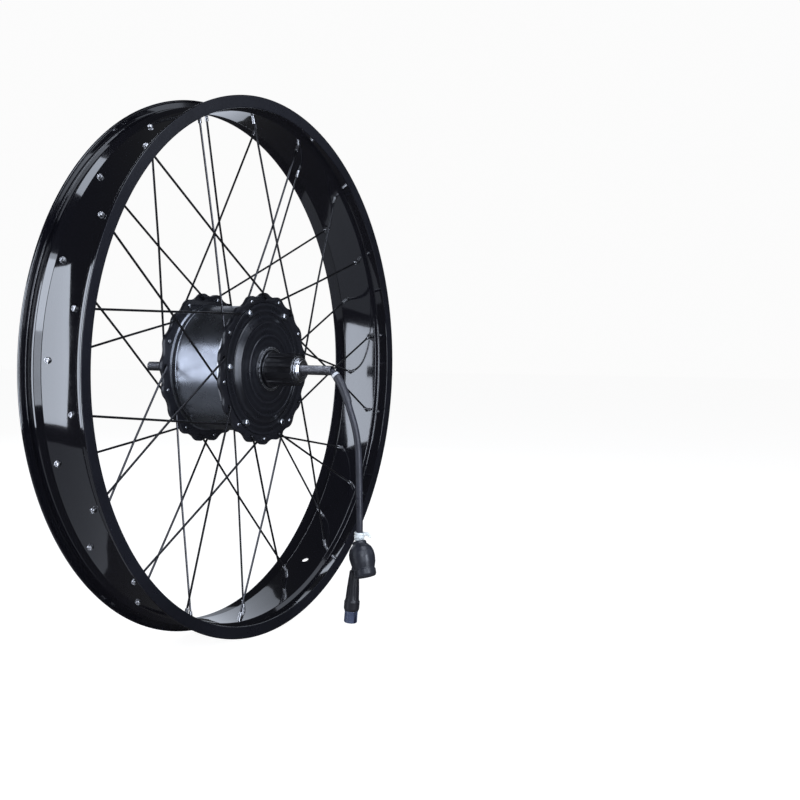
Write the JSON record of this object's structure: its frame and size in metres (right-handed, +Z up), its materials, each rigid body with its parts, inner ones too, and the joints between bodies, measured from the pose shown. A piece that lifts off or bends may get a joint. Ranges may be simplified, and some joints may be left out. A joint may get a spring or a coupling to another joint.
{
  "type": "hub motor wheel",
  "caption": "Fat-tyre bicycle rear wheel: laced wide rim, geared hub motor, splined freehub, flatted threaded axle and motor cable with connector.",
  "frame": {"origin": "centre of the wheel, on the axle line, midway between the two dropout faces", "axes": "+Y along the axle from the freehub side to the brake side, +Z up, the cable hangs towards -Z"},
  "size_m": [0.572, 0.295, 0.572],
  "materials": {
    "rim_black": "gloss black anodised",
    "shell_black": "satin black anodised",
    "cover_black": "satin black anodised",
    "spoke_black": "black stainless wire",
    "steel": "machined steel",
    "dark_steel": "dark threaded steel",
    "chrome": "bright chrome",
    "lamination": "stacked electrical steel",
    "copper": "enamelled copper wire",
    "magnet": "nickel-plated magnet",
    "nylon": "moulded nylon",
    "board": "circuit board",
    "rubber": "black rubber",
    "cable_grey": "dark grey cable jacket",
    "tie_white": "translucent white nylon",
    "collar_blue": "translucent blue-grey plastic"
  },
  "bodies": {
    "axle_assembly": {"axle": "dark_steel", "stator_core": "lamination", "stator_winding": "copper", "hall_sensor_board": "board", "drive_side_locknut": "chrome", "brake_side_locknut": "chrome", "motor_cable": "cable_grey", "cable_sleeve": "rubber", "cable_tie": "tie_white", "nut_boot": "rubber", "connector_body": "rubber", "connector_collar": "collar_blue"},
    "carrier": {"planet_carrier": "steel", "planet_pin_1": "steel", "planet_pin_2": "steel", "planet_pin_3": "steel", "one_way_clutch": "steel"},
    "wheel": {"rim": "rim_black", "hub_shell": "shell_black", "drive_side_cover": "cover_black", "drive_spokes_01": "spoke_black", "drive_spokes_02": "spoke_black", "drive_spokes_03": "spoke_black", "drive_spokes_04": "spoke_black", "drive_spokes_05": "spoke_black", "drive_spokes_06": "spoke_black", "drive_spokes_07": "spoke_black", "drive_spokes_08": "spoke_black", "drive_spokes_09": "spoke_black", "brake_spokes_01": "spoke_black", "brake_spokes_02": "spoke_black", "brake_spokes_03": "spoke_black", "brake_spokes_04": "spoke_black", "brake_spokes_05": "spoke_black", "brake_spokes_06": "spoke_black", "brake_spokes_07": "spoke_black", "brake_spokes_08": "spoke_black", "brake_spokes_09": "spoke_black", "cover_screw_1": "steel", "cover_screw_2": "steel", "cover_screw_3": "steel", "cover_screw_4": "steel", "cover_screw_5": "steel", "cover_screw_6": "steel", "ring_gear": "steel", "brake_side_bearing": "steel", "brake_side_seal": "rubber", "drive_side_bearing": "steel", "freehub_core": "steel", "freehub_inner_bearing": "steel", "freehub_outer_bearing": "steel"},
    "rotor": {"rotor_can": "steel", "magnet_ring": "magnet", "sun_gear": "steel", "rotor_bearing": "steel"},
    "planet_1": {"planet_gear_1": "nylon"},
    "planet_2": {"planet_gear_2": "nylon"},
    "planet_3": {"planet_gear_3": "nylon"},
    "freehub": {"freehub_body": "dark_steel"}
  },
  "joints": [
    {"name": "clutch_overrun", "type": "hinge", "parent": "axle_assembly", "child": "carrier", "pos_m": [0, 0, 0], "axis": [0, 1, 0], "continuous": true},
    {"name": "wheel_spin", "type": "hinge", "parent": "carrier", "child": "wheel", "pos_m": [0, 0, 0], "axis": [0, 1, 0], "continuous": true},
    {"name": "rotor_spin", "type": "hinge", "parent": "carrier", "child": "rotor", "pos_m": [0, 0, 0], "axis": [0, 1, 0], "continuous": true},
    {"name": "planet_1_spin", "type": "hinge", "parent": "carrier", "child": "planet_1", "pos_m": [0, 0.019, 0.027], "axis": [0, 1, 0], "continuous": true},
    {"name": "planet_2_spin", "type": "hinge", "parent": "carrier", "child": "planet_2", "pos_m": [-0.02338, 0.019, -0.0135], "axis": [0, 1, 0], "continuous": true},
    {"name": "planet_3_spin", "type": "hinge", "parent": "carrier", "child": "planet_3", "pos_m": [0.02338, 0.019, -0.0135], "axis": [0, 1, 0], "continuous": true},
    {"name": "freehub_spin", "type": "hinge", "parent": "wheel", "child": "freehub", "pos_m": [0, 0, 0], "axis": [0, 1, 0], "continuous": true}
  ],
  "couplings": [
    {"joint": "rotor_spin", "follows": "wheel_spin", "ratio": -5},
    {"joint": "planet_1_spin", "follows": "wheel_spin", "ratio": 2.5},
    {"joint": "planet_2_spin", "follows": "wheel_spin", "ratio": 2.5},
    {"joint": "planet_3_spin", "follows": "wheel_spin", "ratio": 2.5}
  ]
}
